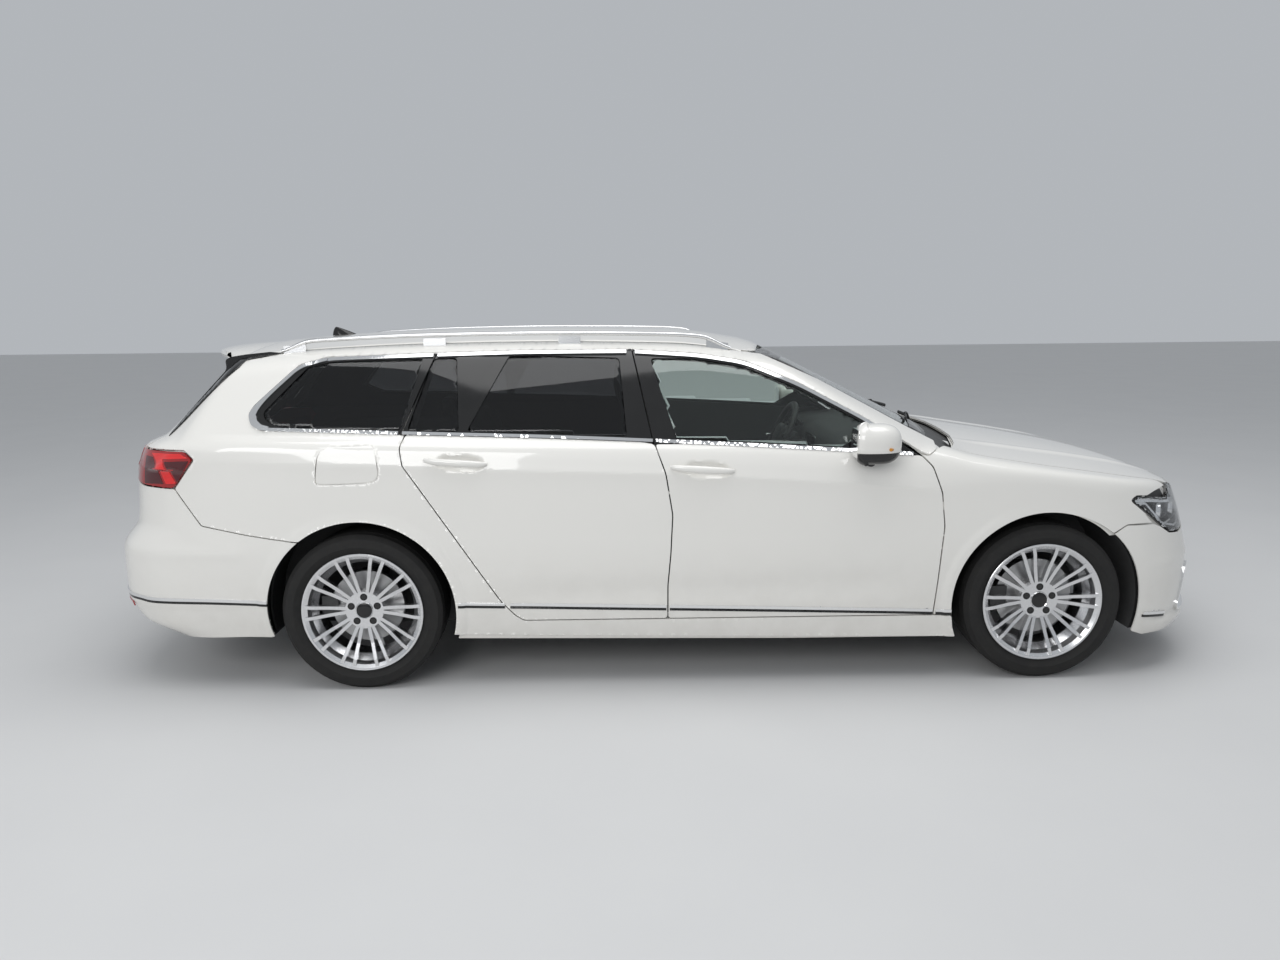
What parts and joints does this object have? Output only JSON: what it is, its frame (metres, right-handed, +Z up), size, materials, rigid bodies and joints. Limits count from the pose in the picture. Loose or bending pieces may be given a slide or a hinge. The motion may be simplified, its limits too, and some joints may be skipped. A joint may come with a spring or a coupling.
{
  "type": "station wagon",
  "caption": "Mid-size estate car with opening doors, bonnet, tailgate and fuel flap, coupled front steering and free rolling wheels.",
  "frame": {"origin": "on the ground under the middle of the overall box", "axes": "+X to the nose, +Y to the left side, +Z up"},
  "size_m": [4.767, 2.083, 1.462],
  "materials": {
    "paint": "gloss",
    "black_plastic": "satin",
    "tinted_glass": "gloss",
    "clear_glass": "gloss",
    "lamp_clear": "gloss",
    "lamp_red": "gloss",
    "alloy": "satin",
    "rubber": "matte",
    "disc_steel": "satin",
    "dark_steel": "satin",
    "interior": "matte",
    "underbody": "matte"
  },
  "bodies": {
    "shell": {"cowl": "black_plastic", "dashboard": "interior", "engine": "dark_steel", "exhaust": "dark_steel", "floor_pan": "underbody", "front_axle": "dark_steel", "front_body": "underbody", "front_bumper": "paint", "front_fenders": "paint", "front_grille": "black_plastic", "front_seats": "interior", "headlamps": "lamp_clear", "rear_axle": "dark_steel", "rear_bench": "interior", "rear_body": "underbody", "rear_bumper": "paint", "rear_side_glass": "tinted_glass", "roof_panel": "paint", "roof_rails": "alloy", "side_frame_left": "paint", "side_frame_right": "paint", "steering_wheel": "interior", "tail_lamps": "lamp_red", "windscreen": "clear_glass"},
    "wheel_front_left": {"tyre_front_left": "rubber", "rim_front_left": "alloy", "disc_front_left": "disc_steel"},
    "door_front_left": {"door_front_left": "paint", "front_door_glass_left": "clear_glass", "mirror_left": "paint"},
    "wheel_front_right": {"tyre_front_right": "rubber", "rim_front_right": "alloy", "disc_front_right": "disc_steel"},
    "door_front_right": {"door_front_right": "paint", "front_door_glass_right": "clear_glass", "mirror_right": "paint"},
    "wheel_rear_left": {"tyre_rear_left": "rubber", "rim_rear_left": "alloy", "disc_rear_left": "disc_steel"},
    "door_rear_left": {"door_rear_left": "paint", "rear_door_glass_left": "tinted_glass"},
    "wheel_rear_right": {"tyre_rear_right": "rubber", "rim_rear_right": "alloy", "disc_rear_right": "disc_steel"},
    "door_rear_right": {"door_rear_right": "paint", "rear_door_glass_right": "tinted_glass"},
    "steer_left": {"knuckle_front_left": "dark_steel"},
    "steer_right": {"knuckle_front_right": "dark_steel"},
    "bonnet": {"bonnet": "paint"},
    "tailgate": {"tailgate": "paint", "tailgate_glass": "tinted_glass", "tailgate_lamps": "lamp_red"},
    "fuel_flap": {"fuel_flap": "paint"}
  },
  "joints": [
    {"name": "steer_left", "type": "hinge", "parent": "shell", "child": "steer_left", "pos_m": [1.528, 0.7, 0.19], "axis": [0, -0.2087, 0.978], "range_deg": [-33, 33]},
    {"name": "wheel_spin_front_left", "type": "hinge", "parent": "steer_left", "child": "wheel_front_left", "pos_m": [1.528, 0.7865, 0.328], "axis": [0, 1, 0], "continuous": true},
    {"name": "wheel_spin_rear_left", "type": "hinge", "parent": "shell", "child": "wheel_rear_left", "pos_m": [-1.263, 0.7865, 0.328], "axis": [0, 1, 0], "continuous": true},
    {"name": "door_front_left", "type": "hinge", "parent": "shell", "child": "door_front_left", "pos_m": [1.022, 0.9, 0.6], "axis": [0, 0, -1], "range_deg": [0, 60]},
    {"name": "door_rear_left", "type": "hinge", "parent": "shell", "child": "door_rear_left", "pos_m": [-0.052, 0.896, 0.6], "axis": [0, 0, -1], "range_deg": [0, 62]},
    {"name": "steer_right", "type": "hinge", "parent": "shell", "child": "steer_right", "pos_m": [1.528, -0.7, 0.19], "axis": [0, 0.2087, 0.978], "range_deg": [-33, 33]},
    {"name": "wheel_spin_front_right", "type": "hinge", "parent": "steer_right", "child": "wheel_front_right", "pos_m": [1.528, -0.7865, 0.328], "axis": [0, 1, 0], "continuous": true},
    {"name": "wheel_spin_rear_right", "type": "hinge", "parent": "shell", "child": "wheel_rear_right", "pos_m": [-1.263, -0.7865, 0.328], "axis": [0, 1, 0], "continuous": true},
    {"name": "door_front_right", "type": "hinge", "parent": "shell", "child": "door_front_right", "pos_m": [1.022, -0.9, 0.6], "axis": [0, 0, 1], "range_deg": [0, 60]},
    {"name": "door_rear_right", "type": "hinge", "parent": "shell", "child": "door_rear_right", "pos_m": [-0.052, -0.896, 0.6], "axis": [0, 0, 1], "range_deg": [0, 62]},
    {"name": "bonnet_hinge", "type": "hinge", "parent": "shell", "child": "bonnet", "pos_m": [1.165, 0, 0.93], "axis": [0, -1, 0], "range_deg": [0, 50]},
    {"name": "tailgate_hinge", "type": "hinge", "parent": "shell", "child": "tailgate", "pos_m": [-1.834, 0, 1.373], "axis": [0, 1, 0], "range_deg": [0, 80]},
    {"name": "fuel_flap_hinge", "type": "hinge", "parent": "shell", "child": "fuel_flap", "pos_m": [-1.176, -0.895, 0.938], "axis": [0, 0, 1], "range_deg": [0, 85]}
  ],
  "couplings": [
    {"joint": "steer_right", "follows": "steer_left", "ratio": 1}
  ]
}
